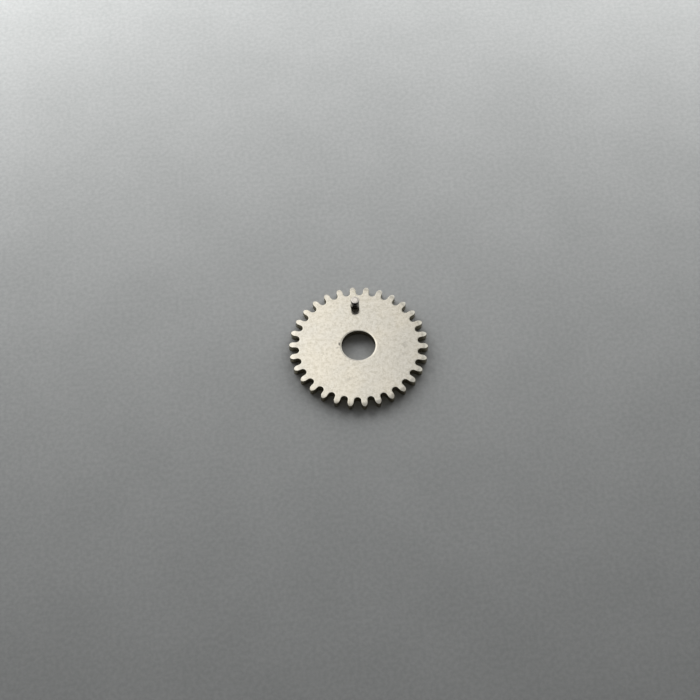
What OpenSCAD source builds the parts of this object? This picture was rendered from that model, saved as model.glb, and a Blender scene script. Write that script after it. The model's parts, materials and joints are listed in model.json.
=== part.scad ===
// Date indicator driving wheel of a calendar watch: a thin flat wheel with long narrow
// teeth, turned by the motion work once in a day. It runs on a fixed stud through its
// plain bore. One upright pin, riveted into the wheel near its rim, moves the date ring
// on by one tooth at each turn. All sizes are in millimetres.
//
// The underside lies in the plane z = 0 and the bore's axis is the Z axis. The centre of
// one tooth lies on the +Y axis. The pin stands up along +Z, nearly in line with that tooth.

/* [Teeth] */
// Number of teeth round the wheel
tooth_count = 30; // [28:1:36]
// Module: the pitch circle's diameter divided by the number of teeth
tooth_module = 0.2; // [0.19:0.005:0.22]
// Height of the tips above the pitch circle
tip_height = 0.255; // [0.2:0.005:0.28]
// Depth of the gaps below the pitch circle
gap_depth = 0.215; // [0.2:0.005:0.28]
// Thickness of a tooth between its parallel flanks
tooth_width = 0.284; // [0.26:0.002:0.3]
// Radius of the two arcs that lean in from the flanks towards the tip
ogive_radius = 0.25; // [0.22:0.01:0.3]
// Radius that rounds the tip where the two arcs would meet
tip_rounding = 0.1; // [0.05:0.01:0.12]

/* [Plate] */
// Thickness of the wheel
plate_thickness = 0.35; // [0.25:0.05:0.5]
// How far in from the tips the upper face begins to roll over
roll_width = 0.25; // [0.1:0.01:0.3]
// How far the rolled-over face has dropped at the tips
roll_drop = 0.025; // [0.02:0.005:0.08]

/* [Bore] */
// Diameter of the bore that runs on the stud
bore_diameter = 1.6; // [1.2:0.02:2]
// Width of the broken edge at the bore's lower end
bore_chamfer = 0.03; // [0.02:0.01:0.08]
// How far out from the bore the upper face begins to roll over into it
bore_roll_width = 0.07; // [0.05:0.01:0.12]
// How far the rolled-over face has dropped at the bore
bore_roll_drop = 0.03; // [0.02:0.005:0.04]

/* [Pin] */
// Distance of the pin's axis from the bore's axis
pin_distance = 2.19; // [1.8:0.01:2.3]
// Angle of the pin from the centre line of its tooth, clockwise seen from above
pin_angle = 1; // [0:0.5:3]
// Diameter of the pin above the wheel
pin_diameter = 0.4; // [0.3:0.02:0.48]
// Height of the pin above the wheel's upper face
pin_height = 0.52; // [0.4:0.02:1]
// Radius that rounds the edge of the pin's free end
pin_rounding = 0.03; // [0.02:0.01:0.08]
// Diameter of the thinner tenon that goes through the wheel
tenon_diameter = 0.24; // [0.16:0.02:0.26]
// Diameter of the riveted tail where it lies flush with the underside
tail_diameter = 0.34; // [0.28:0.02:0.4]
// Depth of the countersink that the riveted tail fills
tail_depth = 0.07; // [0.04:0.01:0.1]

/* [Hidden] */

// Steps round a full circle
$fn = 120;

// How far a cutting shape reaches past the faces that it cuts
overcut = 0.1;

// Angle from one tooth to the next
tooth_pitch = 360 / tooth_count;

// Radii of the pitch circle, of the tips and of the bottoms of the gaps
pitch_radius = tooth_module * tooth_count / 2;
outside_radius = pitch_radius + tip_height;
root_radius = pitch_radius - gap_depth;

// A gap ends in a full round that touches the root circle and the flanks on both sides.
// It bites into the flanks by a hair, so that its wall crosses theirs in a clean edge.
flank_bite = 0.001;
gap_centre = (root_radius - tooth_width / 2) / (1 - sin(tooth_pitch / 2));
gap_rounding = gap_centre - root_radius + flank_bite;

// The disc that carries the teeth reaches to where the rounds meet the flanks
disc_radius = norm([gap_centre * cos(tooth_pitch / 2), tooth_width / 2]);

// The ogive is two arcs, each centred beyond the tooth's centre line. The tip's rounding
// touches both, and each joint lies on the line from the arc's centre through the tip's.
arc_offset = ogive_radius - tooth_width / 2;
tip_centre = outside_radius - tip_rounding;
tip_rise = sqrt(pow(ogive_radius - tip_rounding, 2) - pow(arc_offset, 2));
ogive_foot = tip_centre - tip_rise;
ogive_height = tip_rise * ogive_radius / (ogive_radius - tip_rounding);

bore_radius = bore_diameter / 2;
pin_radius = pin_diameter / 2;
tenon_radius = tenon_diameter / 2;
tail_radius = tail_diameter / 2;

// Outline of the tooth that points along +Y, from inside the disc to its rounded tip
module tooth_outline() {
    foot = disc_radius - tooth_width;
    translate([-tooth_width / 2, foot])
        square([tooth_width, ogive_foot - foot]);
    intersection() {
        translate([-tooth_width / 2, ogive_foot])
            square([tooth_width, ogive_height]);
        intersection_for (side = [-1, 1])
            translate([side * arc_offset, ogive_foot])
                circle(r = ogive_radius);
    }
    translate([0, tip_centre])
        circle(r = tip_rounding);
}

// Outline of the whole wheel, without its holes
module wheel_outline() {
    difference() {
        union() {
            circle(r = disc_radius);
            for (i = [0 : tooth_count - 1])
                rotate(i * tooth_pitch)
                    tooth_outline();
        }
        for (i = [0 : tooth_count - 1])
            rotate((i + 0.5) * tooth_pitch)
                translate([0, gap_centre])
                    circle(r = gap_rounding);
    }
}

// What is taken off above the upper face where it rolls over all round on an arc. The arc
// touches the face at the radius start and has dropped by drop after width, counted
// outwards if side is 1 and inwards if side is -1.
module roll_waste(start, width, drop, side) {
    arc_radius = (pow(width, 2) + pow(drop, 2)) / (2 * drop);
    arc_height = plate_thickness - arc_radius;
    reach = width + overcut;
    rotate_extrude()
        difference() {
            translate([start + (side - 1) / 2 * reach, arc_height])
                square([reach, arc_radius + overcut]);
            translate([start, arc_height])
                circle(r = arc_radius);
        }
}

// What the bore takes out of the wheel, with a broken edge at its lower end
module bore_waste() {
    rotate_extrude()
        polygon([
            [0, -overcut],
            [bore_radius + bore_chamfer + overcut, -overcut],
            [bore_radius, bore_chamfer],
            [bore_radius, plate_thickness + overcut],
            [0, plate_thickness + overcut]
        ]);
}

// Puts a shape that is drawn round the Z axis on the pin's axis
module at_pin() {
    rotate(-pin_angle)
        translate([0, pin_distance, 0])
            children();
}

// Half section of the tenon with its spread tail, made longer by extra at both ends
module tenon_section(extra = 0) {
    spread = (tail_radius - tenon_radius) / tail_depth;
    polygon([
        [0, -extra],
        [tail_radius + spread * extra, -extra],
        [tenon_radius, tail_depth],
        [tenon_radius, plate_thickness + extra],
        [0, plate_thickness + extra]
    ]);
}

// Half section of the pin above the wheel, with the edge of its free end rounded
module shank_section() {
    shoulder = pin_radius - pin_rounding;
    translate([0, plate_thickness]) {
        square([pin_radius, pin_height - pin_rounding]);
        square([shoulder, pin_height]);
        translate([shoulder, pin_height - pin_rounding])
            circle(r = pin_rounding);
    }
}

// Flat wheel with its teeth, its bore and the countersunk hole that holds the pin
module toothed_wheel() {
    color([0.82, 0.79, 0.71])
        difference() {
            linear_extrude(plate_thickness)
                wheel_outline();
            roll_waste(outside_radius - roll_width, roll_width, roll_drop, 1);
            bore_waste();
            roll_waste(bore_radius + bore_roll_width, bore_roll_width, bore_roll_drop, -1);
            at_pin()
                rotate_extrude()
                    tenon_section(overcut);
        }
}

// Pin that sits with its shoulder on the upper face, its tail flush with the underside
module drive_pin() {
    color([0.6, 0.6, 0.62])
        at_pin()
            rotate_extrude() {
                tenon_section();
                shank_section();
            }
}

toothed_wheel();
drive_pin();
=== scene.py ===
import json
import math

import bmesh
import bpy
from mathutils import Matrix, Vector


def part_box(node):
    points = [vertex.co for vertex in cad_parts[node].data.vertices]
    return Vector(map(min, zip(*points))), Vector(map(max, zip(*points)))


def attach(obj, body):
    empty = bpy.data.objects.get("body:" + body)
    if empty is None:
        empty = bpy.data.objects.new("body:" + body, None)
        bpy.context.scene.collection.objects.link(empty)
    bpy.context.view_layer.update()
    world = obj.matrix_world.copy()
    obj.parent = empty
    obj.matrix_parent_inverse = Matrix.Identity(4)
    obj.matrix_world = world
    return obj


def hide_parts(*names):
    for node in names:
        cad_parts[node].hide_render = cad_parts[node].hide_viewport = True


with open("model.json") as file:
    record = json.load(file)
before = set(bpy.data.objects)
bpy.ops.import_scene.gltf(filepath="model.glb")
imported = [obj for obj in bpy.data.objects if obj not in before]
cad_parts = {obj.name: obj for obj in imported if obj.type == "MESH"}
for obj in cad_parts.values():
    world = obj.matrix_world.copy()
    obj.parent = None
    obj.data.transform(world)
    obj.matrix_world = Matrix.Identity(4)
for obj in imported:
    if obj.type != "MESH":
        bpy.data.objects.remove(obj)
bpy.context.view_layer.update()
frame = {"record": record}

# Sizes that come from the frame, in metres
MM = 0.001
MOUNTS = {m["name"]: m for m in frame["record"]["mounts"]}
_, WHEEL_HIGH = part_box("toothed_wheel")
_, PIN_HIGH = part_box("drive_pin")
THICKNESS = WHEEL_HIGH.z
OUTSIDE_RADIUS = WHEEL_HIGH.y
BORE_RADIUS = MOUNTS["bore"]["dims"]["r_mm"] * MM
PIN_RADIUS = MOUNTS["drive_pin"]["dims"]["r_mm"] * MM
PIN_CENTRE = Vector((*MOUNTS["drive_pin"]["pos_m"][:2], 0))
PIN_TOP = PIN_HIGH.z

# The forms of the teeth, of the bore and of the pin. They have the solids' values, apart from the
# roll-over at the bore, which is shallower here and ends in an edge of its own.
TOOTH_COUNT = 30
TOOTH_WIDTH = 0.284 * MM
ROOT_RADIUS = 2.785 * MM
OGIVE_RADIUS = 0.25 * MM
TIP_ROUNDING = 0.1 * MM
ROLL_WIDTH = 0.25 * MM
ROLL_DROP = 0.025 * MM
BORE_CHAMFER = 0.03 * MM
BORE_ROLL_WIDTH = 0.08 * MM
BORE_ROLL_DROP = 0.008 * MM
BORE_EDGE = 0.005 * MM
TENON_RADIUS = 0.12 * MM
TAIL_RADIUS = 0.17 * MM
TAIL_DEPTH = 0.07 * MM
PIN_ROUNDING = 0.03 * MM

# How the edges are broken: inset and drop of the upper edge, and the radius of the lower one
EDGE_INSET = 0.012 * MM
EDGE_DROP = 0.01 * MM
LOWER_EDGE = 0.012 * MM

# Where the wheel's flat web meets the roots of its teeth, and its steps round half a tooth pitch
WEB_RADIUS = 2.6 * MM
WEB_STEPS = 6

HALF_PITCH = math.pi / TOOTH_COUNT
QUARTER_TURN = math.pi / 2

# Points of the mesh that are closer than this, in millimetres, are joined
JOIN_DISTANCE = 2e-5


class ToothForm:
    """Points along half a tooth, from the bottom of the gap to the tip, with the tooth along +Y."""

    def __init__(self):
        half = TOOTH_WIDTH / 2
        self.gap_centre_distance = (ROOT_RADIUS - half) / (1 - math.sin(HALF_PITCH))
        self.gap_rounding = self.gap_centre_distance - ROOT_RADIUS
        self.gap_centre = Vector((
            self.gap_centre_distance * math.sin(HALF_PITCH),
            self.gap_centre_distance * math.cos(HALF_PITCH),
        ))
        self.arc_offset = OGIVE_RADIUS - half
        self.tip_centre = OUTSIDE_RADIUS - TIP_ROUNDING
        rise = math.sqrt((OGIVE_RADIUS - TIP_ROUNDING) ** 2 - self.arc_offset ** 2)
        self.ogive_foot = self.tip_centre - rise
        self.joint_angle = math.atan2(rise, self.arc_offset)

    def samples(self, root=12, flank=4, ogive=7, tip=6):
        """A list of (edge point, direction into the metal, inner end of the line across the face)."""
        return (
            self.root_samples(root) + self.flank_samples(flank)
            + self.ogive_samples(ogive) + self.tip_samples(tip)
        )

    def root_samples(self, count):
        start, stop = math.radians(270) - HALF_PITCH, math.pi
        out = []
        for i in range(count):
            angle = start + (stop - start) * i / count
            into = Vector((math.cos(angle), math.sin(angle)))
            out.append((self.gap_centre + into * self.gap_rounding, into, self.web_end(i, count)))
        return out

    def web_end(self, i, count):
        """The first half of the lines end on the web's circle, the others climb the tooth's middle."""
        on_circle = count - WEB_STEPS
        if i <= on_circle:
            angle = HALF_PITCH * (1 - i / on_circle)
            return Vector((math.sin(angle), math.cos(angle))) * WEB_RADIUS
        climb = (i - on_circle) / (count - on_circle)
        return Vector((0, WEB_RADIUS + (self.gap_centre.y - WEB_RADIUS) * climb))

    def flank_samples(self, count):
        out = []
        for i in range(count):
            y = self.gap_centre.y + (self.ogive_foot - self.gap_centre.y) * i / count
            out.append((Vector((TOOTH_WIDTH / 2, y)), Vector((-1, 0)), Vector((0, y))))
        return out

    def ogive_samples(self, count):
        centre = Vector((-self.arc_offset, self.ogive_foot))
        out = []
        for i in range(count):
            angle = self.joint_angle * i / count
            away = Vector((math.cos(angle), math.sin(angle)))
            middle = Vector((0, self.ogive_foot + self.arc_offset * math.tan(angle)))
            out.append((centre + away * OGIVE_RADIUS, -away, middle))
        return out

    def tip_samples(self, count):
        centre = Vector((0, self.tip_centre))
        out = []
        for i in range(count + 1):
            angle = self.joint_angle + (QUARTER_TURN - self.joint_angle) * i / count
            away = Vector((math.cos(angle), math.sin(angle)))
            out.append((centre + away * TIP_ROUNDING, -away, centre))
        return out


def upper_face(point):
    """Height of the upper face at a point, which rolls over towards the tips."""
    past = max(0.0, point.length - (OUTSIDE_RADIUS - ROLL_WIDTH))
    radius = (ROLL_WIDTH ** 2 + ROLL_DROP ** 2) / (2 * ROLL_DROP)
    return THICKNESS - radius + math.sqrt(radius ** 2 - past ** 2)


def section_across_edge(edge, into, end, lower_steps=3, edge_steps=6, wall_steps=4, face_steps=4):
    """The metal's skin along one line: from the middle below, round the edge, to the middle above."""
    rows = []
    lower_inner = edge + into * LOWER_EDGE
    for i in range(face_steps):
        p = end.lerp(lower_inner, i / face_steps)
        rows.append((p.x, p.y, 0.0))
    for i in range(lower_steps + 1):
        a = QUARTER_TURN * i / lower_steps
        p = edge + into * (LOWER_EDGE * (1 - math.sin(a)))
        rows.append((p.x, p.y, LOWER_EDGE * (1 - math.cos(a))))
    upper_wall = upper_face(edge) - EDGE_DROP
    for i in range(1, wall_steps):
        z = LOWER_EDGE + (upper_wall - LOWER_EDGE) * i / wall_steps
        rows.append((edge.x, edge.y, z))
    for i in range(edge_steps + 1):
        a = QUARTER_TURN * i / edge_steps
        p = edge + into * (EDGE_INSET * (1 - math.cos(a)))
        rows.append((p.x, p.y, upper_face(p) - EDGE_DROP * (1 - math.sin(a))))
    upper_inner = edge + into * EDGE_INSET
    for i in range(1, face_steps + 1):
        p = upper_inner.lerp(end, i / face_steps)
        rows.append((p.x, p.y, upper_face(p)))
    return rows


def add_grid(bm, columns, closed=False):
    """Quads between neighbouring columns of points."""
    made = [[bm.verts.new(p) for p in column] for column in columns]
    pairs = list(zip(made, made[1:]))
    if closed:
        pairs.append((made[-1], made[0]))
    for left, right in pairs:
        for k in range(len(left) - 1):
            bm.faces.new((left[k], right[k], right[k + 1], left[k + 1]))


def turned(points, angle):
    """Points turned about the Z axis."""
    c, s = math.cos(angle), math.sin(angle)
    return [(c * x - s * y, s * x + c * y, z) for x, y, z in points]


def at_angle(radius, angle, z, centre=(0.0, 0.0)):
    """The point at a distance from an upright axis, at an angle clockwise from +Y."""
    return (centre[0] + radius * math.sin(angle), centre[1] + radius * math.cos(angle), z)


def add_turned(bm, section, angles, centre=(0.0, 0.0)):
    """A surface of revolution, from a half section of radii and heights."""
    columns = [[at_angle(r, t, z, centre) for r, z in section] for t in angles]
    add_grid(bm, columns, closed=True)


def full_circle(count):
    return [2 * math.pi * i / count for i in range(count)]


def add_teeth(bm):
    """All teeth with the round gaps between them."""
    half = [section_across_edge(*s) for s in ToothForm().samples()]
    mirrored = [[(-x, y, z) for x, y, z in column] for column in half[:-1]]
    whole = half + mirrored[::-1]
    for i in range(TOOTH_COUNT):
        add_grid(bm, [turned(column, 2 * HALF_PITCH * i) for column in whole])


# Radii of the web's rings, and the window in them that holds the pin's hole, with the slack that
# the comparisons of its radii allow
HOLE_WINDOW = (1.84 * MM, 2.4 * MM)
HOLE_HALF_ANGLE = math.radians(8)
WEB_RINGS = [r * MM for r in (2.6, 2.4, 2.26, 2.12, 1.98, 1.84, 1.6, 1.35, 1.1, 0.96)]
SLACK = 1e-9


def add_web(bm):
    """The flat web on both sides, with the bore and the hole for the pin."""
    count = 2 * TOOTH_COUNT * WEB_STEPS
    bore = bore_section()
    for z, up in ((THICKNESS, True), (0.0, False)):
        mouth = bore[-1][0] if up else bore[0][0]
        rings = WEB_RINGS + [mouth]
        for outer, inner in zip(rings, rings[1:]):
            for i in range(count):
                a, b = (2 * math.pi * k / count for k in (i, i + 1))
                if in_window((outer + inner) / 2, (a + b) / 2):
                    continue
                corners = [(outer, a), (outer, b), (inner, b), (inner, a)]
                add_face(bm, [at_angle(r, t, z) for r, t in corners], up)
        add_hole_patch(bm, z, up, TENON_RADIUS if up else TAIL_RADIUS, count)
    add_turned(bm, bore, full_circle(count))
    wall = [(TAIL_RADIUS, 0.0), (TENON_RADIUS, TAIL_DEPTH), (TENON_RADIUS, THICKNESS)]
    add_turned(bm, wall, hole_angles(count), PIN_CENTRE)


def bore_section(wall_steps=4, edge_steps=4, roll_steps=8):
    """Radius and height up the bore's wall: a chamfer below, a broken edge and the roll-over above."""
    out = [(BORE_RADIUS + BORE_CHAMFER, 0.0), (BORE_RADIUS, BORE_CHAMFER)]
    radius = (BORE_ROLL_WIDTH ** 2 + BORE_ROLL_DROP ** 2) / (2 * BORE_ROLL_DROP)
    low = THICKNESS - BORE_ROLL_DROP - BORE_EDGE
    for i in range(1, wall_steps + 1):
        out.append((BORE_RADIUS, BORE_CHAMFER + (low - BORE_CHAMFER) * i / wall_steps))
    for i in range(1, edge_steps + 1):
        a = QUARTER_TURN * i / edge_steps
        out.append((BORE_RADIUS + BORE_EDGE * (1 - math.cos(a)), low + BORE_EDGE * math.sin(a)))
    end = math.asin(BORE_ROLL_WIDTH / radius)
    for i in range(1, roll_steps + 1):
        a = end * (1 - i / roll_steps)
        out.append((BORE_RADIUS + BORE_EDGE + BORE_ROLL_WIDTH - radius * math.sin(a),
                    THICKNESS - radius * (1 - math.cos(a))))
    return out


def in_window(radius, angle):
    """Whether a place on the web lies in the window round the pin's hole."""
    near = min(angle, 2 * math.pi - angle) < HOLE_HALF_ANGLE
    return near and HOLE_WINDOW[0] < radius < HOLE_WINDOW[1]


def window_loop(count):
    """The window's border as (radius, angle), in order round it."""
    step = 2 * math.pi / count
    k = round(HOLE_HALF_ANGLE / step)
    rings = [r for r in WEB_RINGS if HOLE_WINDOW[0] - SLACK <= r <= HOLE_WINDOW[1] + SLACK]
    outer, inner = rings[0], rings[-1]
    loop = [(outer, step * i) for i in range(-k, k)]
    loop += [(r, step * k) for r in rings[:-1]]
    loop += [(inner, step * i) for i in range(k, -k, -1)]
    loop += [(r, -step * k) for r in rings[:0:-1]]
    return [(r * math.sin(a), r * math.cos(a)) for r, a in loop]


def hole_angles(count):
    """Angles round the pin's hole that face the points of the window's border."""
    return [math.atan2(x - PIN_CENTRE.x, y - PIN_CENTRE.y) for x, y in window_loop(count)]


def add_hole_patch(bm, z, up, radius, count):
    """The web between the window's border and the hole."""
    border = [(x, y, z) for x, y in window_loop(count)]
    rim = [at_angle(radius, a, z, PIN_CENTRE) for a in hole_angles(count)]
    n = len(border)
    for i in range(n):
        j = (i + 1) % n
        middle = [tuple((a + b) / 2 for a, b in zip(border[k], rim[k])) for k in (i, j)]
        add_face(bm, [border[i], border[j], middle[1], middle[0]], up)
        add_face(bm, [middle[0], middle[1], rim[j], rim[i]], up)


def add_face(bm, points, up):
    """One face that looks up or down."""
    verts = [bm.verts.new(p) for p in points]
    face = bm.faces.new(verts)
    face.normal_update()
    if (face.normal.z > 0) != up:
        face.normal_flip()


def finish_mesh(bm, name, material):
    """The object made of a mesh, whose doubled points are joined and whose skin faces outwards."""
    for v in bm.verts:
        v.co /= MM
    bmesh.ops.remove_doubles(bm, verts=bm.verts, dist=JOIN_DISTANCE)
    bmesh.ops.recalc_face_normals(bm, faces=bm.faces)
    for v in bm.verts:
        v.co *= MM
    mesh = bpy.data.meshes.new(name)
    bm.to_mesh(mesh)
    bm.free()
    for polygon in mesh.polygons:
        polygon.use_smooth = True
    mesh.materials.append(material)
    piece = bpy.data.objects.new(name, mesh)
    bpy.context.scene.collection.objects.link(piece)
    return piece


def build_wheel(material):
    bm = bmesh.new()
    add_teeth(bm)
    add_web(bm)
    piece = finish_mesh(bm, "wheel_metal", material)
    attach(piece, "root")
    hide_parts("toothed_wheel")


def build_pin(material, count=96, steps=8):
    """The pin: its tail, its tenon, its shoulder and its shank with a rounded end."""
    shoulder = PIN_RADIUS - PIN_ROUNDING
    section = [(0.0, 0.0), (TAIL_RADIUS * 0.5, 0.0), (TAIL_RADIUS, 0.0), (TENON_RADIUS, TAIL_DEPTH)]
    section += [(TENON_RADIUS, THICKNESS), (PIN_RADIUS, THICKNESS)]
    for i in range(steps + 1):
        a = QUARTER_TURN * i / steps
        height = PIN_TOP - PIN_ROUNDING * (1 - math.sin(a))
        section.append((shoulder + PIN_ROUNDING * math.cos(a), height))
    section += [(shoulder * 0.5, PIN_TOP), (0.0, PIN_TOP)]
    bm = bmesh.new()
    add_turned(bm, section, full_circle(count), PIN_CENTRE)
    piece = finish_mesh(bm, "pin_metal", material)
    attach(piece, "root")
    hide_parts("drive_pin")


# How a mark of use ends: half its height in millimetres, how far noise shifts its border, and the
# distances from its centre, in its own half sizes, where it is gone and where it is full
MARK_HEIGHT = 0.1
MARK_RAGGEDNESS = 1.2
MARK_GONE = 1.9
MARK_FULL = 0.9


class Nodes:
    """Adds shader nodes to one tree, taking each input as a value or as another node's output."""

    def __init__(self, tree):
        self.tree = tree

    def put(self, socket, value):
        if isinstance(value, bpy.types.NodeSocket):
            self.tree.links.new(value, socket)
        else:
            socket.default_value = value

    def add(self, kind, settings, inputs):
        """A new node with the given settings and inputs, each input by its name or number."""
        node = self.tree.nodes.new(kind)
        for key, value in settings.items():
            setattr(node, key, value)
        for key, value in inputs.items():
            self.put(node.inputs[key], value)
        return node

    def math(self, operation, a, b=0.0, c=0.0):
        return self.add("ShaderNodeMath", {"operation": operation}, {0: a, 1: b, 2: c}).outputs[0]

    def vector(self, operation, a, b=(0, 0, 0)):
        return self.add("ShaderNodeVectorMath", {"operation": operation}, {0: a, 1: b}).outputs

    def mix(self, factor, a, b):
        return self.add("ShaderNodeMix", {"data_type": "RGBA"}, {0: factor, 6: a, 7: b}).outputs[2]

    def multiply(self, a, b):
        settings = {"data_type": "RGBA", "blend_type": "MULTIPLY"}
        return self.add("ShaderNodeMix", settings, {0: 1.0, 6: a, 7: b}).outputs[2]

    def brighten(self, factor, a, b):
        """Adds a share of the second colour to the first."""
        settings = {"data_type": "RGBA", "blend_type": "ADD"}
        return self.add("ShaderNodeMix", settings, {0: factor, 6: a, 7: b}).outputs[2]

    def ramp(self, value, low, high, to_low=0.0, to_high=1.0):
        """Goes smoothly from to_low to to_high while the value goes from low to high."""
        settings = {"interpolation_type": "SMOOTHSTEP"}
        inputs = {"Value": value, 1: low, 2: high, 3: to_low, 4: to_high}
        return self.add("ShaderNodeMapRange", settings, inputs).outputs[0]

    def noise(self, place, scale, detail=3.0, roughness=0.5):
        inputs = {"Vector": place, "Scale": scale, "Detail": detail, "Roughness": roughness}
        return self.add("ShaderNodeTexNoise", {}, inputs).outputs[0]

    def place(self):
        """The place on the object, in millimetres."""
        spot = self.tree.nodes.new("ShaderNodeTexCoord").outputs["Object"]
        node = self.add("ShaderNodeVectorMath", {"operation": "SCALE"}, {0: spot, "Scale": 1 / MM})
        return node.outputs[0]

    def mark(self, place, centre, size, turn, noise):
        """1 inside a small oval on the upper face and 0 outside it, with a ragged border."""
        offset = self.vector("SUBTRACT", place, (*centre, THICKNESS / MM))[0]
        settings = {"rotation_type": "Z_AXIS"}
        inputs = {0: offset, "Angle": math.radians(-turn)}
        turned_offset = self.add("ShaderNodeVectorRotate", settings, inputs).outputs[0]
        shrink = (1 / size[0], 1 / size[1], 1 / MARK_HEIGHT)
        away = self.vector("LENGTH", self.vector("MULTIPLY", turned_offset, shrink)[0])["Value"]
        away = self.math("MULTIPLY_ADD", noise, MARK_RAGGEDNESS, away)
        return self.ramp(away, MARK_GONE, MARK_FULL)

    def upward(self, low, high):
        """0 on walls and 1 on faces that look up or down, between the two values of the normal's Z."""
        normal = self.tree.nodes.new("ShaderNodeTexCoord").outputs["Normal"]
        parts = self.add("ShaderNodeSeparateXYZ", {}, {0: normal})
        return self.ramp(self.math("ABSOLUTE", parts.outputs[2]), low, high)


def new_material(name, metallic, roughness):
    material = bpy.data.materials.new(name)
    material.use_nodes = True
    shader = material.node_tree.nodes["Principled BSDF"]
    shader.inputs["Metallic"].default_value = metallic
    shader.inputs["Roughness"].default_value = roughness
    return material, Nodes(material.node_tree), shader


# Roughness of the faces, and what their grain and the cut walls add to it
FACE_ROUGHNESS = 0.13
GRAIN_ROUGHNESS = 0.07
WALL_ROUGHNESS = 0.22
WHITE = (1, 1, 1, 1)
MARK_TONE = (0.1, 0.095, 0.08, 1)

# Marks of use on the upper face: centre and half sizes in millimetres, turn in degrees, depth of tone
MARKS = (
    ((-0.88, 0.15), (0.06, 0.09), 0, 0.85),
    ((-1.0, -0.04), (0.07, 0.045), 30, 0.45),
    ((-0.6, -1.77), (0.2, 0.08), 10, 0.2),
    ((2.17, -0.15), (0.12, 0.22), -20, 0.16),
    ((1.9, -0.75), (0.3, 0.07), 35, 0.1),
    ((0.55, 1.9), (0.36, 0.022), -6, 0.14),
    ((0.6, 2.12), (0.3, 0.02), -4, 0.1),
)


def wheel_tone(nodes, place, mottle, grain):
    """Colour of the plated face: soft tints, a fine grain and the marks of use."""
    tint = nodes.ramp(nodes.noise(place, 0.7, 3.0), 0.32, 0.68)
    tone = nodes.mix(tint, (0.855, 0.805, 0.70, 1), (0.815, 0.78, 0.70, 1))
    clouds = nodes.mix(nodes.ramp(mottle, 0.3, 0.62), (0.80, 0.79, 0.76, 1), WHITE)
    tone = nodes.multiply(tone, clouds)
    specks = nodes.mix(nodes.ramp(grain, 0.3, 0.6), (0.89, 0.885, 0.87, 1), WHITE)
    tone = nodes.multiply(tone, specks)
    for centre, size, turn, depth in MARKS:
        share = nodes.math("MULTIPLY", nodes.mark(place, centre, size, turn, mottle), depth)
        tone = nodes.mix(share, tone, MARK_TONE)
    return tone


def wheel_material():
    """Nickel plate, with rougher walls where the teeth were cut, and walls darkened by painted shade.
    """
    material, nodes, shader = new_material("wheel_satin", 1.0, FACE_ROUGHNESS)
    place = nodes.place()
    mottle = nodes.noise(place, 5.5, 5.0, 0.72)
    grain = nodes.noise(place, 19.0, 3.0, 0.6)
    # Painted shade: the walls get a mottled olive tone far darker than the plated faces.
    wall = nodes.mix(nodes.ramp(mottle, 0.3, 0.7), (0.27, 0.245, 0.175, 1), (0.40, 0.365, 0.265, 1))
    upward = nodes.upward(0.5, 0.97)
    tone = nodes.mix(upward, wall, wheel_tone(nodes, place, mottle, grain))
    nodes.put(shader.inputs["Base Color"], tone)
    satin = nodes.ramp(grain, 0.3, 0.7, FACE_ROUGHNESS, FACE_ROUGHNESS + GRAIN_ROUGHNESS)
    side = nodes.math("SUBTRACT", 1.0, upward)
    nodes.put(shader.inputs["Roughness"], nodes.math("MULTIPLY_ADD", side, WALL_ROUGHNESS, satin))
    height = nodes.math("MULTIPLY_ADD", grain, 0.35, mottle)
    bump = nodes.add("ShaderNodeBump", {}, {"Height": height, "Strength": 0.9, "Distance": 0.0015 * MM})
    nodes.put(shader.inputs["Normal"], bump.outputs[0])
    return material


# The ring that turning left on the pin's end: radius in millimetres, and depth of tone
TURNED_RING_RADIUS = 0.145
TURNED_RING_DEPTH = 0.4


def pin_material():
    """Polished steel: a bright end with a turned ring, and a shank painted dark as shade."""
    material, nodes, shader = new_material("pin_polished", 1.0, 0.1)
    place = nodes.place()
    grain = nodes.noise(place, 22.0, 3.0, 0.6)
    top = nodes.mix(nodes.ramp(grain, 0.35, 0.65), (0.70, 0.655, 0.60, 1), (0.86, 0.81, 0.75, 1))
    from_axis = nodes.vector("SUBTRACT", place, PIN_CENTRE / MM)[0]
    flat = nodes.vector("MULTIPLY", from_axis, (1, 1, 0))[0]
    ragged = nodes.math("MULTIPLY", grain, 0.03)
    radius = nodes.math("ADD", nodes.vector("LENGTH", flat)["Value"], ragged)
    from_ring = nodes.math("ABSOLUTE", nodes.math("SUBTRACT", radius, TURNED_RING_RADIUS))
    turned_ring = nodes.ramp(from_ring, 0.035, 0.01)
    top = nodes.mix(nodes.math("MULTIPLY", turned_ring, TURNED_RING_DEPTH), top, (0.2, 0.18, 0.16, 1))
    # Painted shade: the shank gets a near-black tone, far darker than the end of the same steel.
    shank = nodes.mix(nodes.ramp(grain, 0.3, 0.7), (0.05, 0.049, 0.047, 1), (0.085, 0.083, 0.079, 1))
    nodes.put(shader.inputs["Base Color"], nodes.mix(nodes.upward(0.6, 0.98), shank, top))
    nodes.put(shader.inputs["Roughness"], nodes.ramp(grain, 0.3, 0.7, 0.08, 0.16))
    bump = nodes.add("ShaderNodeBump", {}, {"Height": grain, "Strength": 0.5, "Distance": 0.004 * MM})
    nodes.put(shader.inputs["Normal"], bump.outputs[0])
    return material


def floor_material():
    """A plain pale grey sheet with a fine, faint grain."""
    material, nodes, shader = new_material("floor_matt", 0.0, 0.8)
    place = nodes.place()
    cloud = nodes.ramp(nodes.noise(place, 0.25, 3.0), 0.3, 0.7)
    tone = nodes.mix(cloud, (0.455, 0.465, 0.46, 1), (0.48, 0.49, 0.485, 1))
    grain = nodes.ramp(nodes.noise(place, 5.5, 4.0, 0.6), 0.3, 0.7)
    tone = nodes.multiply(tone, nodes.mix(grain, (0.87, 0.87, 0.875, 1), WHITE))
    nodes.put(shader.inputs["Base Color"], tone)
    shader.inputs["Specular IOR Level"].default_value = 0.2
    return material


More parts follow.
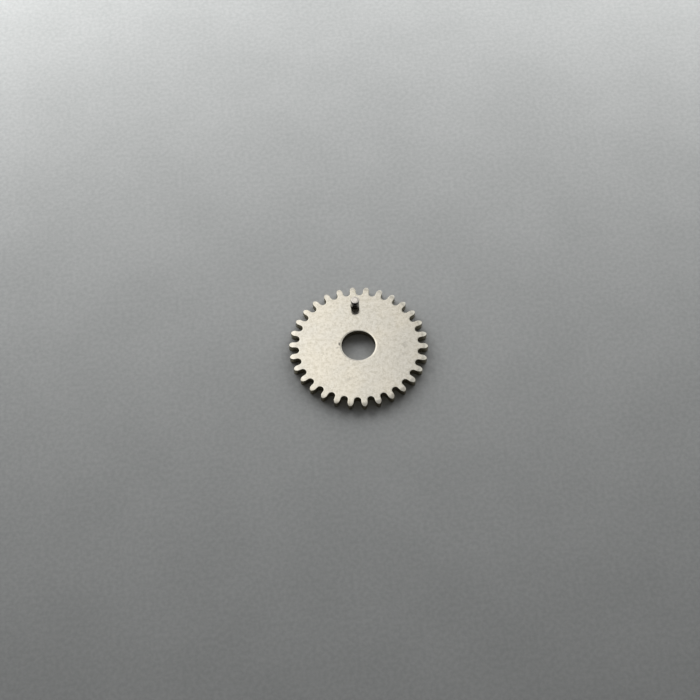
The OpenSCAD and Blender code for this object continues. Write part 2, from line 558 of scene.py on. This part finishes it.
# The camera, as fitted to the outline of the teeth and the bore. WHEEL_PIXEL is where the centre
# of the wheel's upper face lies in the picture.
CAMERA_DISTANCE = 68.64 * MM
CAMERA_AZIMUTH = math.radians(-3.56)
CAMERA_ELEVATION = math.radians(59.17)
CAMERA_ROLL = math.radians(-1.76)
CAMERA_LENS = 75.49
SENSOR_WIDTH = 36.0
FRAME_PIXELS = 700
WHEEL_PIXEL = (358.46, 345.21)
CLIP_START = 1 * MM
CLIP_END = 10.0


def build_camera():
    a, e, r = CAMERA_AZIMUTH, CAMERA_ELEVATION, CAMERA_ROLL
    back = Vector((math.sin(a) * math.cos(e), -math.cos(a) * math.cos(e), math.sin(e)))
    level = Vector((math.cos(a), math.sin(a), 0))
    upright = back.cross(level)
    right = level * math.cos(r) + upright * math.sin(r)
    up = upright * math.cos(r) - level * math.sin(r)
    per_pixel = CAMERA_DISTANCE * SENSOR_WIDTH / CAMERA_LENS / FRAME_PIXELS
    across, down = ((p - FRAME_PIXELS / 2) * per_pixel for p in WHEEL_PIXEL)
    place = Vector((0, 0, THICKNESS)) + back * CAMERA_DISTANCE - right * across + up * down
    data = bpy.data.cameras.new("camera")
    data.lens, data.sensor_width = CAMERA_LENS, SENSOR_WIDTH
    data.clip_start, data.clip_end = CLIP_START, CLIP_END
    camera = bpy.data.objects.new("camera", data)
    turn = Matrix((right, up, back)).transposed()
    camera.matrix_world = Matrix.Translation(place) @ turn.to_4x4()
    bpy.context.scene.collection.objects.link(camera)
    bpy.context.scene.camera = camera


def area_light(name, place, width, height, radiance):
    """A soft box that looks at the wheel. The metal doesn't mirror it."""
    data = bpy.data.lights.new(name, "AREA")
    data.shape = "RECTANGLE"
    data.size, data.size_y = width, height
    data.energy = radiance * math.pi * width * height
    light = bpy.data.objects.new(name, data)
    light.visible_glossy = False
    light.location = place
    light.rotation_mode = "QUATERNION"
    light.rotation_quaternion = (-Vector(place)).to_track_quat("-Z", "Y")
    bpy.context.scene.collection.objects.link(light)


def direction(azimuth, elevation):
    """From the wheel towards a place, azimuth 0 being the side that the pin is on, 90 the right."""
    a, e = math.radians(azimuth), math.radians(elevation)
    return Vector((math.sin(a) * math.cos(e), math.cos(a) * math.cos(e), math.sin(e)))


# What the metal mirrors: an even tone with a dark place where the photo's camera is, to which
# patches add their tones. Each has its azimuth and elevation, the angles from there where it
# starts to fade and where it ends, and its tone.
ROOM_TONE = (0.41, 0.41, 0.41, 1)
ROOM_SHADES = (
    (183, 62, 15, 28, (0.015, 0.015, 0.015, 1)),
)
ROOM_PATCHES = (
    (-25, 58, 6, 22, (0.41, 0.41, 0.40, 1)),
    (-18, 54, 5, 20, (0.525, 0.515, 0.50, 1)),
    (45, 42, 14, 28, (0.42, 0.435, 0.435, 1)),
    (0, 20, 12, 32, (0.46, 0.47, 0.48, 1)),
    (-35, 20, 8, 26, (0.28, 0.285, 0.29, 1)),
    (35, 20, 8, 26, (0.28, 0.285, 0.29, 1)),
)
# The light that the room adds to the lamps' on matt surfaces, weaker from the camera's side
FILL_TONE = (0.165, 0.165, 0.165, 1)
FILL_SHADES = (
    (183, 59, 40, 62, (0.045, 0.045, 0.045, 1)),
)
# Name, azimuth, elevation, distance, width, height and radiance
LAMPS = (
    ("window_middle", 0, 32, 0.055, 0.09, 0.03, 1.5),
    ("window_left", -35, 20, 0.048, 0.0436, 0.0227, 5.1),
    ("window_right", 35, 20, 0.048, 0.0436, 0.0227, 4.25),
)
# What the camera itself sees past the floor
BACKDROP_TONE = (0.8, 0.8, 0.8, 1)

FLOOR_SIZE = 2.0
FLOOR_GAP = 0.004 * MM


def patch_share(nodes, seen, azimuth, elevation, inner, outer):
    """1 inside a patch of the room and 0 outside it, with a soft border."""
    near = nodes.vector("DOT_PRODUCT", seen, direction(azimuth, elevation))["Value"]
    return nodes.ramp(near, math.cos(math.radians(outer)), math.cos(math.radians(inner)))


def shaded(nodes, seen, tone, shades):
    """A tone that turns into each shade's own tone in the shade's place."""
    for azimuth, elevation, inner, outer, shade_tone in shades:
        share = patch_share(nodes, seen, azimuth, elevation, inner, outer)
        tone = nodes.mix(share, tone, shade_tone)
    return tone


def build_world():
    """The room, which is one thing to the camera, one in reflections and one as plain light."""
    world = bpy.data.worlds.new("room")
    bpy.context.scene.world = world
    world.use_nodes = True
    nodes = Nodes(world.node_tree)
    seen = world.node_tree.nodes.new("ShaderNodeTexCoord").outputs["Generated"]
    fill = shaded(nodes, seen, FILL_TONE, FILL_SHADES)
    mirrored = shaded(nodes, seen, ROOM_TONE, ROOM_SHADES)
    for azimuth, elevation, inner, outer, patch_tone in ROOM_PATCHES:
        share = patch_share(nodes, seen, azimuth, elevation, inner, outer)
        mirrored = nodes.brighten(share, mirrored, patch_tone)
    rays = world.node_tree.nodes.new("ShaderNodeLightPath").outputs
    tone = nodes.mix(rays["Is Glossy Ray"], fill, mirrored)
    tone = nodes.mix(rays["Is Camera Ray"], tone, BACKDROP_TONE)
    nodes.put(world.node_tree.nodes["Background"].inputs["Color"], tone)


def build_studio():
    bpy.ops.mesh.primitive_plane_add(size=FLOOR_SIZE, location=(0, 0, -FLOOR_GAP))
    floor = bpy.context.object
    floor.name = "floor"
    floor.data.materials.append(floor_material())
    for name, azimuth, elevation, distance, width, height, radiance in LAMPS:
        area_light(name, direction(azimuth, elevation) * distance, width, height, radiance)
    build_world()


bpy.context.scene.view_settings.view_transform = "Standard"
build_camera()
build_studio()
build_wheel(wheel_material())
build_pin(pin_material())
